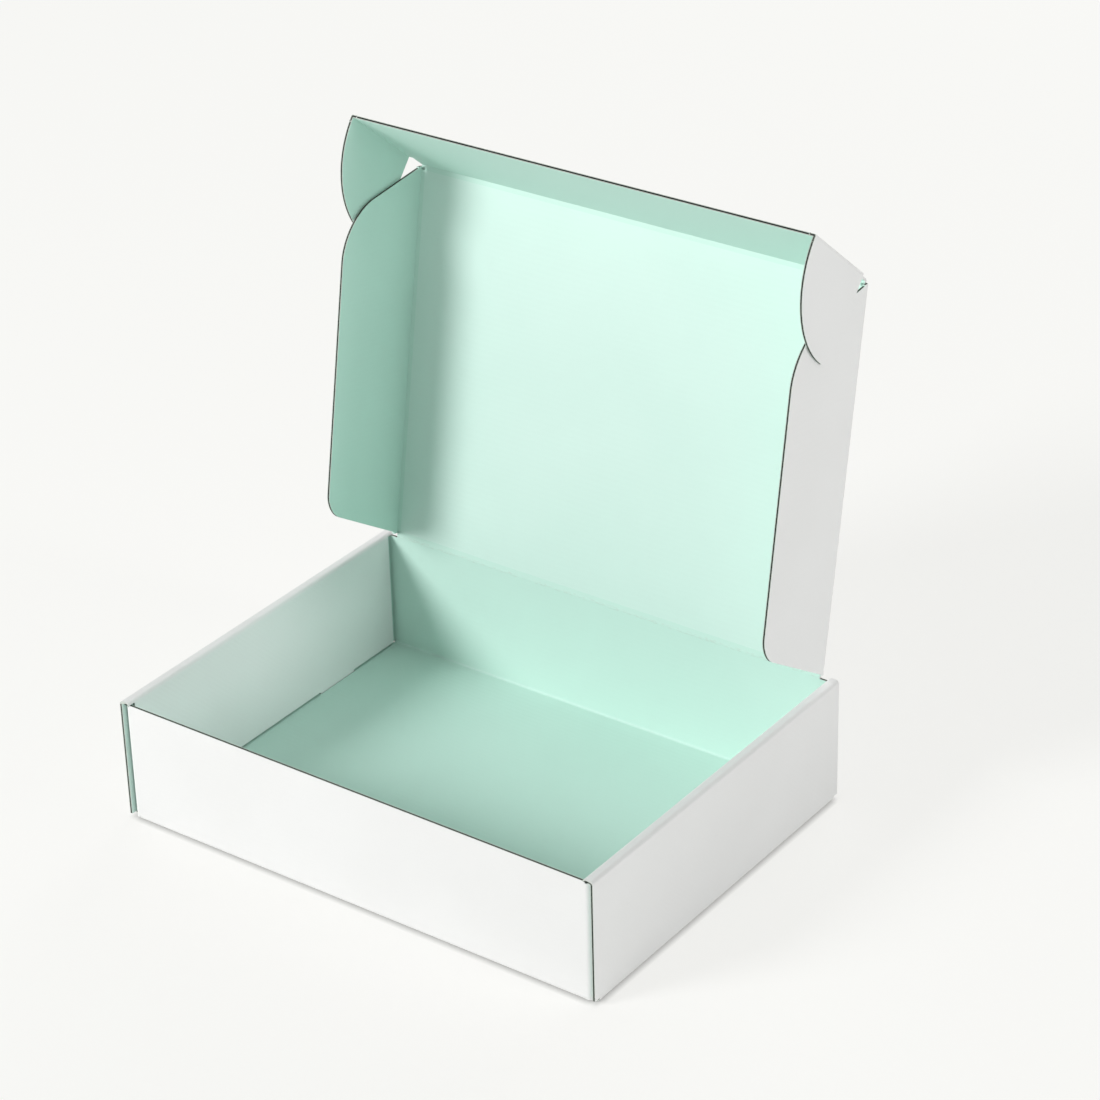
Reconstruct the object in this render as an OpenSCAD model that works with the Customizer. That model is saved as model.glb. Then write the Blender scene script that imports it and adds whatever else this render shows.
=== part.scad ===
/* [Box] */
// Outside width, across the two side walls
box_w = 300; // [240:1:360]
// Outside depth, along the two side walls
box_d = 222; // [180:1:280]
// Outside height of the side walls
box_h = 72.5; // [60:0.5:90]
// Thickness of the board
board = 1.5; // [1.2:0.1:1.8]
// Width of the rolled top edge of each side wall
edge_w = 6.4; // [6:0.1:8]

/* [Lid] */
// How far the open lid leans back from upright
lid_lean = 10; // [0:1:20]
// Angle the front flap stands up from square to the lid
tuck_rise = 30; // [29:0.5:31]
// Length of the front flap from its fold
tuck_len = 70; // [68:0.5:71]
// Depth of each side flap from its fold
side_flap_w = 64.5; // [50:0.5:65]
// Reach of each ear from its fold
ear_len = 50.5; // [46:0.5:51]

/* [Hidden] */

// Curves of the bends
bend_r = 3;
edge_r = 2.2;
crease_r = board / 2;
crease_gap = 0.3;
slip = 0.4;

// Walls of the tray, set back from the side walls' ends and tops
front_inset = 1;
back_inset = 0.25;
front_drop = 0.5;
front_y = -(box_d / 2 - front_inset);
back_y = box_d / 2 - back_inset;
front_top = box_h - board - front_drop;
hinge_y = back_y - board / 2;
hinge_z = box_h - board / 2;
back_top = hinge_z - crease_r - crease_gap;
inner_x = box_w / 2 - edge_w;
inner_end = 4.5;
inner_y = box_d / 2 - inner_end;
inner_z = 2.5;
corner_slip = 1;
corner_x = box_w / 2 - board - corner_slip;
corner_len = 58;
corner_z = 3.4;
corner_drop = 1;

// Slots in the floor and the tabs that stand in them
tab_w = 30;
tab_y = box_d / 4;
slot_play = 0.35;

// Fold lines of the lid and its flaps, from the box's middle
ear_slip = 0.75;
tuck_clear = 3.45;
ear_x = inner_x - ear_slip - board / 2;
flap_x = ear_x - board - slip;
lid_x = flap_x - crease_r - crease_gap;
tuck_x = ear_x - crease_r - crease_gap;
lid_len = hinge_y - front_y - board - tuck_clear;
lid_top = lid_len - crease_r - crease_gap;

// Outline of a side flap, as distance from the lid and distance up the lid
flap_low = 1.6;
flap_low_rise = 0.43;
flap_top = lid_len - flap_low;
flap_top_fall = 0.28;
flap_low_r = 17;
flap_top_r = 20;
flap_kink = 0.05;
flap_low_z = to_hundredth(flap_low + flap_low_rise * (side_flap_w - flap_low_r - crease_r)
    + (flap_low_r - flap_kink) * sqrt(1 + flap_low_rise * flap_low_rise));
flap_top_z = to_hundredth(flap_top - flap_top_fall * (side_flap_w - flap_top_r - crease_r)
    - (flap_top_r - flap_kink) * sqrt(1 + flap_top_fall * flap_top_fall));

// Outline of an ear, along the front flap from its fold
ear_back = 11;
ear_mid = tuck_len - ear_len;
ear_tip_r = ear_mid - ear_back;

$fn = 64;

function to_hundredth(v) = round(v * 100) / 100;

// A sheet standing in the YZ plane, its middle at x
module standing_sheet(x) {
    translate([x - board / 2, 0, 0]) rotate([90, 0, 90]) linear_extrude(board) children();
}

// A quarter of a ring as thick as the board, for a bend
module quarter_ring(r) {
    intersection() {
        difference() {
            circle(r);
            circle(r - board);
        }
        square(r + 1);
    }
}

// Half-round edge at a fold, along z, bulging to +y
module crease(h) {
    intersection() {
        cylinder(r = crease_r, h = h);
        translate([-crease_r, 0, 0]) cube([2 * crease_r, crease_r, h]);
    }
}

module lid_frame() {
    translate([0, hinge_y, hinge_z]) rotate([-lid_lean, 0, 0]) children();
}

module tuck_frame() {
    lid_frame() translate([0, 0, lid_len]) rotate([90 - tuck_rise, 0, 0]) children();
}

// Section through the outer panel and top strip of the right side wall
module outer_section() {
    translate([box_w / 2 - board, bend_r]) square([board, box_h - edge_r - bend_r]);
    translate([box_w / 2 - edge_r, box_h - edge_r]) quarter_ring(edge_r);
    translate([inner_x + edge_r, box_h - board]) square([edge_w - 2 * edge_r, board]);
}

module side_wall() {
    rotate([90, 0, 0]) translate([0, 0, -box_d / 2]) linear_extrude(box_d) outer_section();
    // Bend from the floor into the outer panel
    rotate([90, 0, 0]) translate([box_w / 2 - bend_r, bend_r, -(back_y - bend_r)])
        linear_extrude(back_y - front_y - 2 * bend_r) mirror([0, 1]) quarter_ring(bend_r);
    // Bend from the top strip into the inner panel, cut away over the end walls
    difference() {
        rotate([90, 0, 0]) translate([inner_x + edge_r, box_h - edge_r, -box_d / 2])
            linear_extrude(box_d) mirror([1, 0]) quarter_ring(edge_r);
        for (s = [-1, 1]) translate([inner_x - 1, s * (inner_y + box_d / 2) - box_d / 2, box_h - edge_r - 1])
            cube([edge_r + 2, box_d, edge_r - board + 1]);
    }
    // Inner panel and its two tabs
    translate([inner_x, -inner_y, inner_z]) cube([board, 2 * inner_y, box_h - edge_r - inner_z]);
    for (s = [-1, 1]) translate([inner_x, s * tab_y - tab_w / 2, 0]) cube([board, tab_w, inner_z + 1]);
}

// Wall with its outer face at y = 0 and the box on the +y side
module end_wall(top) {
    half = corner_x - bend_r;
    flap_h = top - corner_drop - corner_z;
    translate([-half, 0, bend_r]) cube([2 * half, board, top - bend_r]);
    // Bend from the floor into the wall
    translate([-half, bend_r, bend_r]) rotate([90, 0, 90]) linear_extrude(2 * half)
        rotate(180) quarter_ring(bend_r);
    // Flaps that the double side walls hold
    for (s = [0, 1]) mirror([s, 0, 0]) {
        translate([half, bend_r, corner_z]) linear_extrude(flap_h) mirror([0, 1]) quarter_ring(bend_r);
        translate([corner_x - board, bend_r, corner_z]) cube([board, corner_len, flap_h]);
    }
}

module tray() {
    color("white") {
        difference() {
            translate([-(box_w / 2 - bend_r), front_y + bend_r, 0])
                cube([box_w - 2 * bend_r, back_y - front_y - 2 * bend_r, board]);
            for (m = [0, 1], s = [-1, 1]) mirror([m, 0, 0])
                translate([inner_x - slot_play, s * tab_y - tab_w / 2 - slot_play, -1])
                    cube([board + 2 * slot_play, tab_w + 2 * slot_play, board + 2]);
        }
        for (m = [0, 1]) mirror([m, 0, 0]) side_wall();
        translate([0, front_y, 0]) end_wall(front_top);
        translate([0, back_y, 0]) mirror([0, 1, 0]) end_wall(back_top);
    }
}

module lid() {
    color("aquamarine") lid_frame() {
        translate([-lid_x, -board / 2, 0]) cube([2 * lid_x, board, lid_top]);
        translate([-lid_x, 0, 0]) rotate([0, 90, 0]) rotate(-90) crease(2 * lid_x);
    }
}

// A quarter disc in the corner of a square that spans r from p
module quarter_disc(c, r, p) {
    intersection() {
        translate(c) circle(r);
        translate(p) square(r);
    }
}

module dust_flap_outline() {
    // Drawn as [-distance from the lid, distance up the lid]
    w = side_flap_w;
    intersection() {
        polygon([
            [-crease_r, flap_low],
            [-w - 1, flap_low + flap_low_rise * (w + 1 - crease_r)],
            [-w - 1, flap_top - flap_top_fall * (w + 1 - crease_r)],
            [-crease_r, flap_top]
        ]);
        union() {
            translate([-w, flap_low_z]) square([w, flap_top_z - flap_low_z]);
            translate([flap_low_r - w, -1]) square([w - flap_low_r, flap_low_z + 1]);
            translate([flap_top_r - w, flap_top_z]) square([w - flap_top_r, lid_len - flap_top_z]);
            quarter_disc([flap_low_r - w, flap_low_z], flap_low_r, [-w, flap_low_z - flap_low_r]);
            quarter_disc([flap_top_r - w, flap_top_z], flap_top_r, [-w, flap_top_z]);
        }
    }
}

module dust_flap() {
    lid_frame() {
        standing_sheet(flap_x) dust_flap_outline();
        // Outside of the fold, round about the corner between the two inner faces
        translate([flap_x - crease_r, -crease_r, flap_low]) intersection() {
            cylinder(r = board, h = flap_top - flap_low);
            cube([board, board, flap_top - flap_low]);
        }
    }
}

module dust_flap_left() {
    color("aquamarine") mirror([1, 0, 0]) dust_flap();
}

module dust_flap_right() {
    color("aquamarine") dust_flap();
}

module tuck_flap() {
    color("aquamarine") tuck_frame() {
        translate([-lid_x, -board / 2, 0]) cube([2 * lid_x, board, ear_back]);
        translate([-tuck_x, -board / 2, ear_back - crease_gap]) cube([2 * tuck_x, board, tuck_len - ear_back + crease_gap]);
        translate([-lid_x, 0, 0]) rotate([0, 90, 0]) rotate(-90) crease(2 * lid_x);
    }
}

module ear_outline() {
    // Drawn as [-distance below the flap, distance along the flap]
    straight = ear_len - ear_tip_r;
    quarter_disc([0, ear_mid], ear_len, [-ear_len, ear_mid]);
    translate([-straight, ear_back]) square([straight, ear_tip_r]);
    quarter_disc([-straight, ear_mid], ear_tip_r, [-ear_len, ear_back]);
}

module ear() {
    tuck_frame() {
        standing_sheet(ear_x) ear_outline();
        translate([ear_x, 0, ear_back]) crease(tuck_len - ear_back);
    }
}

module ear_left() {
    color("aquamarine") mirror([1, 0, 0]) ear();
}

module ear_right() {
    color("aquamarine") ear();
}

tray();
lid();
dust_flap_left();
dust_flap_right();
tuck_flap();
ear_left();
ear_right();
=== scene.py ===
import math

import bmesh
import bpy
from mathutils import Matrix, Vector


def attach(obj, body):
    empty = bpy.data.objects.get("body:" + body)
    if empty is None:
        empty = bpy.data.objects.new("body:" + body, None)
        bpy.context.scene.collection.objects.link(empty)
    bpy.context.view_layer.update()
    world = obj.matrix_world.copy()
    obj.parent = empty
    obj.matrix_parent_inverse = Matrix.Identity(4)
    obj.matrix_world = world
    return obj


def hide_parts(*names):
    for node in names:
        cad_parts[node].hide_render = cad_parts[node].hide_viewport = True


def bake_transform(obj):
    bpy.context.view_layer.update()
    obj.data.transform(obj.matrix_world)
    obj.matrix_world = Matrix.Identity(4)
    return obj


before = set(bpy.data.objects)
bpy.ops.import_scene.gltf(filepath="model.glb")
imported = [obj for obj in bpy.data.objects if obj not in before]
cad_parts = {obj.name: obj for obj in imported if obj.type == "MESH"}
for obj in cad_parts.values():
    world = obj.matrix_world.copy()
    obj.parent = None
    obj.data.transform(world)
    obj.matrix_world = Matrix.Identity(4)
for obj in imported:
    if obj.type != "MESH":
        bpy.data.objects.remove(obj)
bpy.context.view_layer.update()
mm = 0.001
scene = bpy.context.scene

# sizes that the frame was built to, in mm
box = {
    "halfWidth": 150.0,
    "halfDepth": 111.0,
    "height": 72.5,
    "board": 1.5,
    "innerX": 143.6,
    "innerEnd": 106.5,
    "cornerX": 147.5,
    "frontY": -110.0,
    "backY": 110.75,
    "bendRadius": 3.0,
    "edgeRadius": 2.2,
    "cornerLow": 3.4,
    "cornerSeat": 1.55,
}
lidSheet = {
    "lean": 10.0,
    "hinge": (0.0, 110.0, 71.75),
    "length": 215.05,
    "halfWidth": 139.15,
    "flapX": 140.2,
    "flapLow": 1.6,
    "flapTop": 213.45,
    "flapWidth": 64.5,
    "flapRoot": 0.75,
    "lowRise": 0.43,
    "lowRadius": 17.0,
    "lowSteps": 10,
    "topFall": 0.28,
    "topRadius": 32.0,
    "topSteps": 16,
}
tuckSheet = {"rise": 30.0, "length": 70.0, "earX": 142.1, "earBack": 11.0}


def turned(degreesUp):
    # direction in the YZ plane, from the front (0) up to vertical (90)
    a = math.radians(degreesUp)
    return Vector((0, -math.cos(a), math.sin(a)))


hinge = Vector(lidSheet["hinge"]) * mm
lidUp = turned(90 + lidSheet["lean"])
lidOut = turned(lidSheet["lean"])
tuckAlong = turned(lidSheet["lean"] + tuckSheet["rise"])
tuckDown = turned(lidSheet["lean"] + tuckSheet["rise"] - 90)
tuckFold = hinge + lidUp * lidSheet["length"] * mm
print("frame loaded:", len(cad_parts), "nodes")


# node helpers for the materials

def newMaterial(name):
    material = bpy.data.materials.new(name)
    material.use_nodes = True
    tree = material.node_tree
    tree.nodes.clear()
    output = tree.nodes.new("ShaderNodeOutputMaterial")
    shader = tree.nodes.new("ShaderNodeBsdfPrincipled")
    tree.links.new(shader.outputs["BSDF"], output.inputs["Surface"])
    return material, tree, shader


def feed(tree, socket, value):
    if isinstance(value, bpy.types.NodeSocket):
        tree.links.new(value, socket)
    else:
        socket.default_value = value


def maths(tree, operation, a, b=0.0, c=0.0):
    node = tree.nodes.new("ShaderNodeMath")
    node.operation = operation
    for i, value in enumerate((a, b, c)):
        feed(tree, node.inputs[i], value)
    return node.outputs[0]


def mixColour(tree, factor, a, b):
    node = tree.nodes.new("ShaderNodeMix")
    node.data_type = "RGBA"
    feed(tree, node.inputs["Factor"], factor)
    feed(tree, node.inputs["A"], a)
    feed(tree, node.inputs["B"], b)
    return node.outputs["Result"]


def noise(tree, place, scale, detail, roughness):
    node = tree.nodes.new("ShaderNodeTexNoise")
    tree.links.new(place, node.inputs["Vector"])
    node.inputs["Scale"].default_value = scale
    node.inputs["Detail"].default_value = detail
    node.inputs["Roughness"].default_value = roughness
    return node.outputs["Fac"]


def ramp(tree, value, low, high):
    node = tree.nodes.new("ShaderNodeMapRange")
    node.interpolation_type = "SMOOTHSTEP"
    tree.links.new(value, node.inputs["Value"])
    node.inputs["From Min"].default_value = low
    node.inputs["From Max"].default_value = high
    return node.outputs["Result"]


def bump(tree, height, distance, strength, before=None):
    node = tree.nodes.new("ShaderNodeBump")
    node.inputs["Distance"].default_value = distance
    node.inputs["Strength"].default_value = strength
    tree.links.new(height, node.inputs["Height"])
    if before is not None:
        tree.links.new(before, node.inputs["Normal"])
    return node.outputs["Normal"]


# printed paper of the two faces, and the raw edge between them; the lid's paler mint is a painted
# highlight, and the crease tone is scuff with painted crease shade
paper = {
    "white": (0.86, 0.865, 0.86, 1),
    "mint": (0.635, 0.855, 0.775, 1),
    # paler copy of the mint for the lid's inner face, painted light for the stronger light on the lid
    "litLidMint": (0.69, 0.875, 0.81, 1),
    "fleckWhite": (0.70, 0.70, 0.685, 1),
    "fleckMint": (0.53, 0.745, 0.67, 1),
    # crease tone, partly scuff wear and partly painted crease shade
    "scuffAndCreaseShade": (0.50, 0.50, 0.44, 1),
    "roughness": 0.62,
    "specular": 0.35,
    "flutePitch": 3.3,
    "fluteDepth": 0.018,
    "fluteWobble": 2.0,
    "fibreScale": 1400,
    "fibreDepth": 0.012,
    "strandScale": 420,
    "strandStretch": (1.0, 3.0, 3.0),
    "strandDepth": 0.03,
    "cloudScale": 14,
    "specksBetween": (0.60, 0.78),
    "speckShare": 0.35,
    "driftBetween": (0.35, 0.65),
    "driftShare": 0.10,
    "scuffAndShadeBetween": (0.45, 0.7),
    "whiteScuffAndShade": 0.30,
    "mintScuffAndShade": 0.22,
}


def paperMaterial(name, colour, fleck, acrossFlutes, creased=0.0):
    material, tree, shader = newMaterial(name)
    coords = tree.nodes.new("ShaderNodeTexCoord")
    place = coords.outputs["Object"]
    fibre = noise(tree, place, paper["fibreScale"], 5.0, 0.6)
    stretch = tree.nodes.new("ShaderNodeMapping")
    stretch.inputs["Scale"].default_value = paper["strandStretch"]
    tree.links.new(place, stretch.inputs["Vector"])
    strand = noise(tree, stretch.outputs["Vector"], paper["strandScale"], 4.0, 0.55)
    cloud = noise(tree, place, paper["cloudScale"], 2.0, 0.4)
    # flecks of the pulp that show through the print
    specks = ramp(tree, fibre, *paper["specksBetween"])
    tone = mixColour(tree, maths(tree, "MULTIPLY", specks, paper["speckShare"]), colour, fleck)
    drift = maths(tree, "MULTIPLY", ramp(tree, cloud, *paper["driftBetween"]), paper["driftShare"])
    tone = mixColour(tree, drift, tone, fleck)
    # a creased paper gets darker streaks, partly scuff wear and partly painted crease shade
    if creased:
        scuffAndCreaseShade = maths(tree, "MULTIPLY", ramp(tree, strand, *paper["scuffAndShadeBetween"]), creased)
        tone = mixColour(tree, scuffAndCreaseShade, tone, paper["scuffAndCreaseShade"])
    tree.links.new(tone, shader.inputs["Base Color"])
    # the flutes under the face print through as faint waves
    dot = tree.nodes.new("ShaderNodeVectorMath")
    dot.operation = "DOT_PRODUCT"
    tree.links.new(place, dot.inputs[0])
    dot.inputs[1].default_value = acrossFlutes
    turns = maths(tree, "MULTIPLY", dot.outputs["Value"], 2 * math.pi / (paper["flutePitch"] * mm))
    wobble = maths(tree, "MULTIPLY_ADD", cloud, paper["fluteWobble"], turns)
    wave = maths(tree, "SINE", wobble)
    relief = bump(tree, wave, paper["fluteDepth"] * mm, 0.5)
    relief = bump(tree, strand, paper["strandDepth"] * mm, 0.35, relief)
    relief = bump(tree, fibre, paper["fibreDepth"] * mm, 0.5, relief)
    tree.links.new(relief, shader.inputs["Normal"])
    shader.inputs["Roughness"].default_value = paper["roughness"]
    shader.inputs["Specular IOR Level"].default_value = paper["specular"]
    return material


rawEdge = {
    "liner": (0.58, 0.63, 0.58, 1),
    "flute": (0.12, 0.13, 0.11, 1),
    # near-black painted shade for the hollows between the flutes
    "hollowShade": (0.012, 0.018, 0.015, 1),
    "linerShare": 0.22,
    "fluteShare": 0.055,
    "waveReach": 0.22,
    "frayScale": 1800,
    "frayReach": 0.12,
    "frayDepth": 0.05,
    "hollowDepth": 0.25,
    "roughness": 0.9,
    "specular": 0.2,
}


def edgeMaterial():
    material, tree, shader = newMaterial("rawBoardEdge")
    uv = tree.nodes.new("ShaderNodeUVMap")
    uv.uv_map = "edgeUV"
    split = tree.nodes.new("ShaderNodeSeparateXYZ")
    tree.links.new(uv.outputs["UV"], split.inputs["Vector"])
    along, across = split.outputs["X"], split.outputs["Y"]
    coords = tree.nodes.new("ShaderNodeTexCoord")
    fray = noise(tree, coords.outputs["Object"], rawEdge["frayScale"], 4.0, 0.6)
    frayed = maths(tree, "MULTIPLY", maths(tree, "SUBTRACT", fray, 0.5), rawEdge["frayReach"])
    centred = maths(tree, "ADD", maths(tree, "SUBTRACT", across, 0.5), frayed)
    swing = maths(tree, "SINE", maths(tree, "MULTIPLY", along, 2 * math.pi))
    wave = maths(tree, "MULTIPLY", swing, rawEdge["waveReach"])
    offWave = maths(tree, "ABSOLUTE", maths(tree, "SUBTRACT", centred, wave))
    isFlute = maths(tree, "LESS_THAN", offWave, rawEdge["fluteShare"])
    offMiddle = maths(tree, "ABSOLUTE", centred)
    isLiner = maths(tree, "GREATER_THAN", offMiddle, 0.5 - rawEdge["linerShare"])
    # the hollows between the flutes are painted shade, near black; the flute and liner keep their own
    # colours
    tone = mixColour(tree, isFlute, rawEdge["hollowShade"], rawEdge["flute"])
    tone = mixColour(tree, isLiner, tone, rawEdge["liner"])
    tree.links.new(tone, shader.inputs["Base Color"])
    solid = maths(tree, "MAXIMUM", isFlute, isLiner)
    relief = bump(tree, solid, rawEdge["hollowDepth"] * mm, 0.6)
    relief = bump(tree, fray, rawEdge["frayDepth"] * mm, 0.6, relief)
    tree.links.new(relief, shader.inputs["Normal"])
    shader.inputs["Roughness"].default_value = rawEdge["roughness"]
    shader.inputs["Specular IOR Level"].default_value = rawEdge["specular"]
    return material


edgeFinish = edgeMaterial()
upright = tuple(lidUp)
tuckWay = tuple(tuckAlong)
finishes = {
    "trayFloor": [
        paperMaterial("whiteTrayOutside", paper["white"], paper["fleckWhite"], (0, 1, 1)),
        paperMaterial("mintTrayInside", paper["mint"], paper["fleckMint"], (0, 1, 1)),
        edgeFinish,
    ],
    "lidSheet": [
        paperMaterial("whiteLidOutside", paper["white"], paper["fleckWhite"], upright),
        # the lid's inside uses the paler mint, a painted highlight for the brighter light on it
        paperMaterial("litMintLidInside", paper["litLidMint"], paper["fleckMint"], upright),
        edgeFinish,
    ],
    "flapSheet": [
        paperMaterial("whiteFlapOutside", paper["white"], paper["fleckWhite"], upright),
        paperMaterial("mintFlapInside", paper["mint"], paper["fleckMint"], upright),
        edgeFinish,
    ],
    "tuckSheet": [
        paperMaterial("whiteTuckOutside", paper["white"], paper["fleckWhite"], tuckWay),
        paperMaterial("mintTuckInside", paper["mint"], paper["fleckMint"], tuckWay),
        edgeFinish,
    ],
}
whiteFace, mintFace, cutFace, whiteCrease, mintCrease = range(5)
# the fold materials carry the crease scuff with its painted crease shade
finishes["fold"] = finishes["flapSheet"] + [
    paperMaterial("whiteFold", paper["white"], paper["fleckWhite"], upright, paper["whiteScuffAndShade"]),
    paperMaterial("mintFold", paper["mint"], paper["fleckMint"], upright, paper["mintScuffAndShade"]),
]
print("materials made")

# limits for joining points and softening edges, in mm and degrees
meshCare = {"weldWithin": 0.002, "flatUnder": 0.8, "softUnder": 35.0, "onLineWithin": 0.01}


def finishMesh(bm, name, finish):
    mesh = bpy.data.meshes.new(name)
    bm.to_mesh(mesh)
    bm.free()
    for material in finish:
        mesh.materials.append(material)
    piece = bpy.data.objects.new(name, mesh)
    scene.collection.objects.link(piece)
    return piece


def mapRawEdges(bm, acrossFlutes, shared=1.0):
    # U counts flutes along the cut, V runs from the white face (0) to the mint face (1)
    # shared is V at a corner that touches both faces
    layer = bm.loops.layers.uv.new("edgeUV")
    direction = Vector(acrossFlutes) / (paper["flutePitch"] * mm)
    for face in bm.faces:
        for loop in face.loops:
            kinds = {f.material_index for f in loop.vert.link_faces}
            side = 1.0 if kinds & {mintFace, mintCrease} else 0.0
            if side and kinds & {whiteFace, whiteCrease}:
                side = shared
            loop[layer].uv = (loop.vert.co.dot(direction), side)


def softenBends(bm):
    softUnder = math.radians(meshCare["softUnder"])
    for face in bm.faces:
        face.smooth = True
    for edge in bm.edges:
        edge.smooth = len(edge.link_faces) == 2 and edge.calc_face_angle(math.pi) < softUnder


def mergedCopy(nodeName):
    bm = bmesh.new()
    bm.from_mesh(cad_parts[nodeName].data)
    bmesh.ops.remove_doubles(bm, verts=bm.verts, dist=meshCare["weldWithin"] * mm)
    flatUnder = math.radians(meshCare["flatUnder"])
    bmesh.ops.dissolve_limit(bm, angle_limit=flatUnder, verts=bm.verts, edges=bm.edges)
    return bm


def dressSheet(bm, nodeName, sort, acrossFlutes, finish, name, shared=1.0):
    # sorts the faces of a sheet into white, mint and cut, and puts it in the frame node's place
    bm.normal_update()
    for face in bm.faces:
        face.material_index = sort(face.calc_center_median() / mm, face.normal)
    mapRawEdges(bm, acrossFlutes, shared)
    softenBends(bm)
    piece = finishMesh(bm, name, finish)
    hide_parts(nodeName)
    return piece


# how a face's centre and direction tell which side of the board it is, in mm and cosines
sorting = {
    "near": 0.1,
    "touching": 0.02,
    "offMiddle": 0.3,
    "acrossWall": 0.5,
    "facing": 0.9,
    "square": 0.95,
    "level": 0.999,
}


def sortFlat(origin, mintSide, cutSide=None):
    # cutSide names the one free edge of a sheet whose other edges are folds
    def sort(centre, normal):
        facing = normal.dot(mintSide)
        if abs(facing) > sorting["facing"]:
            return mintFace if facing > 0 else whiteFace
        off = (centre * mm - origin).dot(mintSide) / mm
        if abs(off) > sorting["offMiddle"]:
            return mintFace if off > 0 else whiteFace
        return cutFace if cutSide is None or normal.dot(cutSide) > sorting["facing"] else whiteFace
    return sort


def sortTray(centre, normal):
    # on a bend, the outside of the curve is the white face
    x, y, z = abs(centre.x), centre.y, centre.z
    outX = normal.x if centre.x > 0 else -normal.x
    side, inner, corner, high = (box[k] for k in ("halfWidth", "innerX", "cornerX", "height"))
    front, rear, board = box["frontY"], box["backY"], box["board"]
    edge, bend = box["edgeRadius"], box["bendRadius"]
    near, touching, square = sorting["near"], sorting["touching"], sorting["square"]

    # rolled top edge of a side wall
    if x > inner - near and z > high - edge + touching and abs(normal.y) < sorting["acrossWall"]:
        if z > high - touching or x > side - touching:
            return whiteFace
        if inner + edge <= x <= side - edge:
            return mintFace if normal.z < 0 else whiteFace
        middle = side - edge if x > side - edge else inner + edge
        away = outX * (x - middle) + normal.z * (z - (high - edge))
        return whiteFace if away > 0 else mintFace

    # raw ends of the side walls
    if abs(normal.y) > sorting["facing"] and x > inner - near:
        if abs(y) > box["halfDepth"] - near or abs(abs(y) - box["innerEnd"]) < near:
            return cutFace

    # bends from the floor into the walls
    slanted = abs(normal.x) < square and abs(normal.y) < square and abs(normal.z) < sorting["level"]
    if z < bend and slanted:
        if x > side - bend:
            away = outX * (x - (side - bend)) + normal.z * (z - bend)
        else:
            middle = front + bend if y < 0 else rear - bend
            away = normal.y * (y - middle) + normal.z * (z - bend)
        return whiteFace if away > 0 else mintFace

    # flat faces
    if abs(normal.z) > square:
        if z > board + 2 * near:
            return cutFace
        return mintFace if z > board - near and normal.z > 0 else whiteFace
    if abs(normal.y) > square:
        if abs(y - front) < near or abs(y - rear) < near:
            return whiteFace
        return mintFace if abs(y - front - board) < near or abs(y - rear + board) < near else cutFace
    if abs(normal.x) > square:
        if abs(x - side) < near or abs(x - corner) < near or (abs(x - inner) < near and z > board + near):
            return whiteFace
        isMint = min(abs(x - side + board), abs(x - inner - board), abs(x - corner + board)) < near
        return mintFace if isMint and z >= board else cutFace

    # bends from the end walls into the corner flaps
    middle = rear - bend if y > 0 else front + bend
    away = outX * (x - (corner - bend)) + normal.y * (y - middle)
    return whiteFace if away > 0 else mintFace


def extruded(bm, outline, along):
    start = bm.faces.new([bm.verts.new(point) for point in outline])
    grown = bmesh.ops.extrude_face_region(bm, geom=[start], use_keep_orig=True)
    moved = [part for part in grown["geom"] if isinstance(part, bmesh.types.BMVert)]
    bmesh.ops.translate(bm, verts=moved, vec=along)
    bmesh.ops.recalc_face_normals(bm, faces=bm.faces)


def roundCorner(bm, at, along, radius, opening, segments):
    # rounds the edge that runs along a direction through a point
    # opening is the angle between its two faces
    def onLine(vert):
        off = vert.co - at
        return (off - along * off.dot(along)).length < meshCare["onLineWithin"] * mm

    edges = [edge for edge in bm.edges if onLine(edge.verts[0]) and onLine(edge.verts[1])]
    bmesh.ops.bevel(bm, geom=edges, offset=radius / math.tan(opening / 2), offset_type="OFFSET",
                    affect="EDGES", segments=segments, profile=0.5, material=-1)


def dustFlapPanel(sign):
    root, width = lidSheet["flapRoot"] * mm, lidSheet["flapWidth"] * mm
    low, top = lidSheet["flapLow"] * mm, lidSheet["flapTop"] * mm
    start = hinge + Vector((sign * (lidSheet["flapX"] - box["board"] / 2) * mm, 0, 0))

    def at(out, up):
        return start + lidOut * out + lidUp * up

    lowCorner = at(width, low + lidSheet["lowRise"] * (width - root))
    topCorner = at(width, top - lidSheet["topFall"] * (width - root))
    sideways = Vector((sign, 0, 0))
    bm = bmesh.new()
    extruded(bm, (at(root, low), lowCorner, topCorner, at(root, top)), sideways * box["board"] * mm)
    for corner, radius, slope, steps in (
        (lowCorner, lidSheet["lowRadius"], lidSheet["lowRise"], lidSheet["lowSteps"]),
        (topCorner, lidSheet["topRadius"], lidSheet["topFall"], lidSheet["topSteps"]),
    ):
        roundCorner(bm, corner, sideways, radius * mm, math.pi / 2 + math.atan(slope), steps)
    return bm


# the corner flaps reach down to the floor, so no light shows under them
bm = mergedCopy("tray")
for vert in bm.verts:
    if abs(vert.co.z - box["cornerLow"] * mm) < sorting["near"] / 2 * mm:
        vert.co.z = box["cornerSeat"] * mm
tray = dressSheet(bm, "tray", sortTray, (0, 0, 1), finishes["trayFloor"], "trayBoard", shared=0.0)
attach(tray, "tray")

# every edge of the lid is a fold, so none of them is a cut
noCut = Vector((0, 0, 0))
lidSort = sortFlat(hinge, lidOut, noCut)
lid = dressSheet(mergedCopy("lid"), "lid", lidSort, upright, finishes["lidSheet"], "lidPanel")
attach(lid, "lid")

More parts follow.
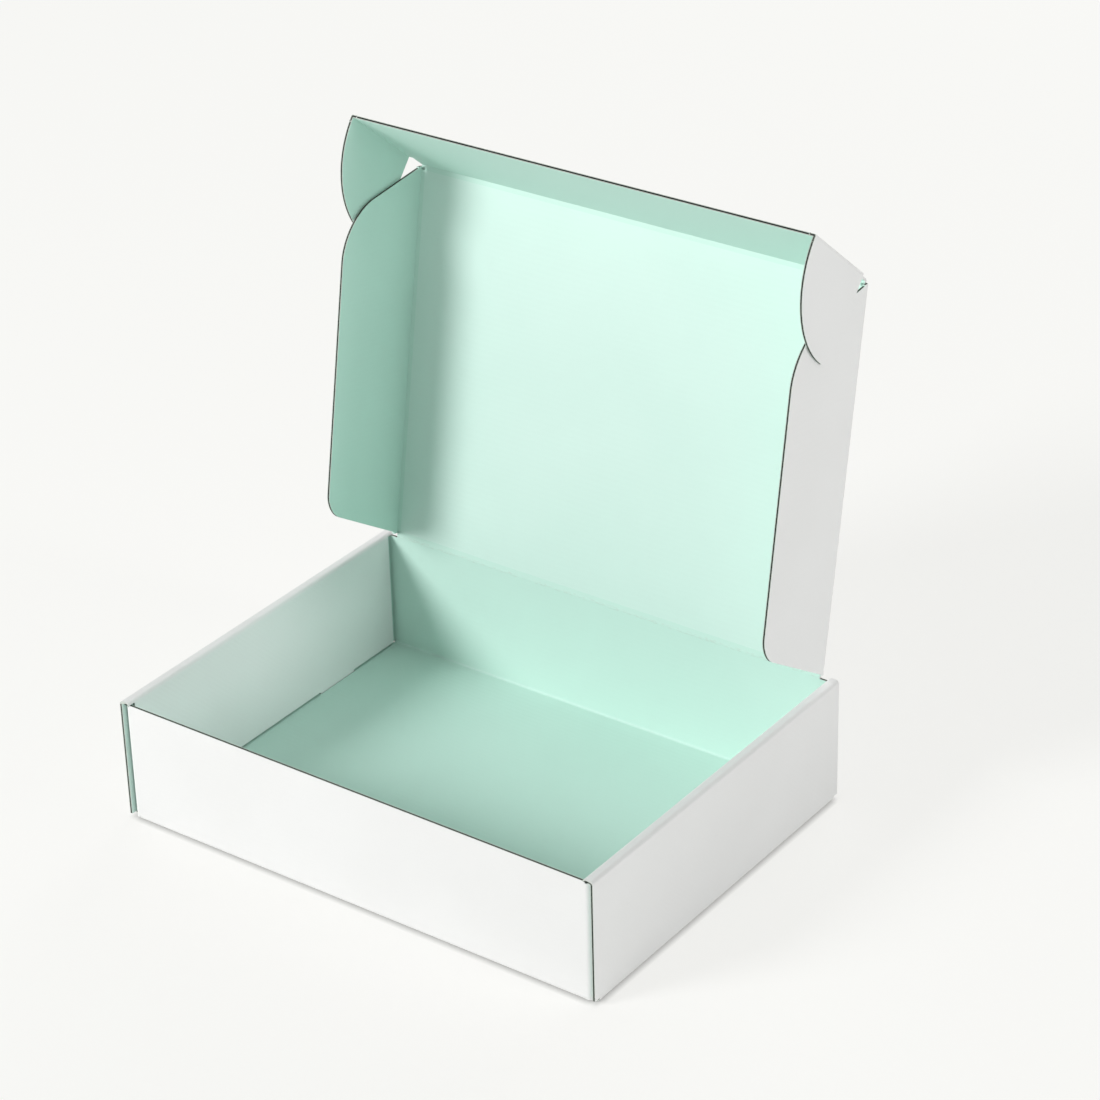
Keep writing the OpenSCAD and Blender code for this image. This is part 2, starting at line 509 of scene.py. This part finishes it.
for side, sign in (("left", -1), ("right", 1)):
    inward = Vector((-sign, 0, 0))
    flapSort = sortFlat(Vector((sign * lidSheet["flapX"] * mm, 0, 0)), inward)
    flap = dressSheet(dustFlapPanel(sign), "dust_flap_" + side, flapSort, upright,
                      finishes["flapSheet"], side + "DustFlap")
    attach(flap, "dust_flap_" + side)
    earSort = sortFlat(Vector((sign * tuckSheet["earX"] * mm, 0, 0)), inward)
    ear = dressSheet(mergedCopy("ear_" + side), "ear_" + side, earSort, tuckWay,
                     finishes["tuckSheet"], side + "Ear")
    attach(ear, "ear_" + side)

tuckSort = sortFlat(tuckFold, tuckDown, tuckAlong)
tuck = dressSheet(mergedCopy("tuck_flap"), "tuck_flap", tuckSort, tuckWay,
                  finishes["tuckSheet"], "tuckPanel")
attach(tuck, "tuck_flap")
print("sheets dressed")


# folds: a short length of board that bends between two sheets
foldStrip = {
    "halfBoard": 0.76,
    "cutsAt": (2.4, 1.6, 0.9),
    "reach": 3.2,
    "bendFrom": 1.6,
    "arcSteps": 6,
    "creaseReach": 1.0,
    "proud": 0.02,
    "cutWithin": 0.001,
}


def foldFinish(isMint, isCreased):
    if isMint:
        return mintCrease if isCreased else mintFace
    return whiteCrease if isCreased else whiteFace


def makeFold(name, first, last, toA, toB, mintSide, bodyA, bodyB, roundness=0, endKind=cutFace):
    halfBoard, reach = foldStrip["halfBoard"] * mm, foldStrip["reach"] * mm
    acrossA = (toB - toA * toB.dot(toA)).normalized()
    acrossB = (toA - toB * toA.dot(toB)).normalized()
    opening = toA.angle(toB)
    inner = (toA + toB).normalized() * halfBoard / math.sin(opening / 2)
    along = (last - first).normalized()
    first, last = first - along * foldStrip["proud"] * mm, last + along * foldStrip["proud"] * mm
    outline = (
        toA * reach - acrossA * halfBoard,
        -inner,
        toB * reach - acrossB * halfBoard,
        toB * reach + acrossB * halfBoard,
        inner,
        toA * reach + acrossA * halfBoard,
    )
    bm = bmesh.new()
    extruded(bm, [first + point for point in outline], last - first)
    # the back of the fold is round, about the fold line (0) or about the inner corner (1)
    roundCorner(bm, first - inner, along, halfBoard * (1 + roundness), opening, foldStrip["arcSteps"])
    for leg in (toA, toB):
        for cut in foldStrip["cutsAt"]:
            parts = bm.verts[:] + bm.edges[:] + bm.faces[:]
            bmesh.ops.bisect_plane(bm, geom=parts, dist=foldStrip["cutWithin"] * mm,
                                   plane_co=first + leg * cut * mm, plane_no=leg)
    bm.normal_update()
    insideIsMint = mintSide.dot(inner) > 0
    for face in bm.faces:
        off = face.calc_center_median() - first
        off -= along * off.dot(along)
        isMint = (face.normal.dot(inner) > 0) == insideIsMint
        isEnd = abs(face.normal.dot(along)) > sorting["facing"]
        isCreased = off.length < foldStrip["creaseReach"] * mm
        face.material_index = endKind if isEnd else foldFinish(isMint, isCreased)
    mapRawEdges(bm, tuple(toA))
    softenBends(bm)
    piece = finishMesh(bm, name, finishes["fold"])
    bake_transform(piece)


across = Vector((lidSheet["halfWidth"] * mm, 0, 0))
down = Vector((0, 0, -1))
makeFold("lidHingeFold", hinge - across, hinge + across, down, lidUp, lidOut, "tray", "lid",
         endKind=whiteCrease)
makeFold("tuckFold", tuckFold - across, tuckFold + across, -lidUp, tuckAlong, lidOut, "lid", "tuck_flap",
         endKind=whiteCrease)
for side, sign in (("left", -1), ("right", 1)):
    inward = Vector((-sign, 0, 0))
    atFlap = hinge + Vector((sign * lidSheet["flapX"] * mm, 0, 0))
    flapEnds = [atFlap + lidUp * lidSheet[k] * mm for k in ("flapLow", "flapTop")]
    makeFold(side + "FlapFold", *flapEnds, inward, lidOut, lidOut, "lid", "dust_flap_" + side, roundness=1)
    atEar = tuckFold + Vector((sign * tuckSheet["earX"] * mm, 0, 0))
    earEnds = [atEar + tuckAlong * tuckSheet[k] * mm for k in ("earBack", "length")]
    makeFold(side + "EarFold", *earEnds, inward, tuckDown, tuckDown, "tuck_flap", "ear_" + side)
print("folds made")

# floor, light and camera
studio = {
    "floorSize": 12.0,
    "floorColour": (0.92, 0.92, 0.905, 1),
    "floorRoughness": 0.9,
    "floorSpecular": 0.1,
    "floorSeen": (1.0, 1.0, 0.975, 1),
    "seenShare": 0.72,
    # reach and depth of the painted contact shadow under the box
    "contactShadeReach": 0.0035,
    "contactShadeDepth": 0.75,
    "contactSamples": 16,
    "worldColour": (1, 1, 0.985, 1),
    "worldLevel": 0.33,
    "worldSeen": 0.98,
    "lampsAimAt": (0, 0, 0.1),
}
lamps = {
    "softKey": {"power": 112.0, "size": 1.4, "at": (-1.8, -3.0, 2.04)},
    "sideFill": {"power": 20.5, "size": 0.7, "at": (2.6, 0.3, 0.6)},
    "softRear": {"power": 32.0, "size": 2.0, "at": (-0.5, 3.0, 1.5)},
}
bm = bmesh.new()
bmesh.ops.create_grid(bm, x_segments=1, y_segments=1, size=studio["floorSize"] / 2)
material, tree, shader = newMaterial("paleFloor")
shader.inputs["Base Color"].default_value = studio["floorColour"]
shader.inputs["Roughness"].default_value = studio["floorRoughness"]
shader.inputs["Specular IOR Level"].default_value = studio["floorSpecular"]
# the camera sees the floor near white, with its shadows, and a painted contact shadow where the box
# touches it
seen = tree.nodes.new("ShaderNodeEmission")
contact = tree.nodes.new("ShaderNodeAmbientOcclusion")
contact.samples = studio["contactSamples"]
contact.inputs["Distance"].default_value = studio["contactShadeReach"]
hidden = maths(tree, "SUBTRACT", 1.0, contact.outputs["AO"])
contactShade = maths(tree, "MULTIPLY", hidden, studio["contactShadeDepth"])
tree.links.new(mixColour(tree, contactShade, studio["floorSeen"], (0, 0, 0, 1)), seen.inputs["Color"])
rays = tree.nodes.new("ShaderNodeLightPath")
share = maths(tree, "MULTIPLY", rays.outputs["Is Camera Ray"], studio["seenShare"])
blended = tree.nodes.new("ShaderNodeMixShader")
tree.links.new(share, blended.inputs[0])
tree.links.new(shader.outputs["BSDF"], blended.inputs[1])
tree.links.new(seen.outputs["Emission"], blended.inputs[2])
tree.links.new(blended.outputs["Shader"], tree.nodes["Material Output"].inputs["Surface"])
floor = finishMesh(bm, "studioFloor", [material])

world = bpy.data.worlds.new("softStudio")
scene.world = world
world.use_nodes = True
tree = world.node_tree
background = tree.nodes["Background"]
background.inputs["Color"].default_value = studio["worldColour"]
rays = tree.nodes.new("ShaderNodeLightPath")
added = studio["worldSeen"] - studio["worldLevel"]
strength = maths(tree, "MULTIPLY_ADD", rays.outputs["Is Camera Ray"], added, studio["worldLevel"])
tree.links.new(strength, background.inputs["Strength"])

for name, lamp in lamps.items():
    light = bpy.data.lights.new(name, "AREA")
    light.shape = "DISK"
    light.size = lamp["size"]
    light.energy = lamp["power"]
    lampObject = bpy.data.objects.new(name, light)
    scene.collection.objects.link(lampObject)
    lampObject.location = lamp["at"]
    lampObject.rotation_mode = "QUATERNION"
    aim = Vector(studio["lampsAimAt"]) - lampObject.location
    lampObject.rotation_quaternion = aim.to_track_quat("-Z", "Y")

# the photograph's view, fitted to the box's corners: degrees, metres, and pixels for the focal length
view = {
    "turn": 36.5153,
    "height": 28.9775,
    "roll": -1.5664,
    "distance": 1.85457,
    "slide": (0.034891, 0.13619),
    "focal": 3510.07,
    "frame": 1100,
    "sensor": 36,
}
turn, height, roll = (math.radians(view[k]) for k in ("turn", "height", "roll"))
back = Vector((math.sin(turn) * math.cos(height), -math.cos(turn) * math.cos(height), math.sin(height)))
level = Vector((math.cos(turn), math.sin(turn), 0))
rise = back.cross(level)
right = level * math.cos(roll) + rise * math.sin(roll)
top = rise * math.cos(roll) - level * math.sin(roll)
camera = bpy.data.cameras.new("photoView")
camera.sensor_width = view["sensor"]
camera.lens = view["focal"] * view["sensor"] / view["frame"]
cameraObject = bpy.data.objects.new("photoView", camera)
scene.collection.objects.link(cameraObject)
spot = back * view["distance"] + right * view["slide"][0] + top * view["slide"][1]
cameraObject.matrix_world = Matrix.Translation(spot) @ Matrix((right, top, back)).transposed().to_4x4()
scene.camera = cameraObject
scene.view_settings.view_transform = "Standard"
print("studio ready")
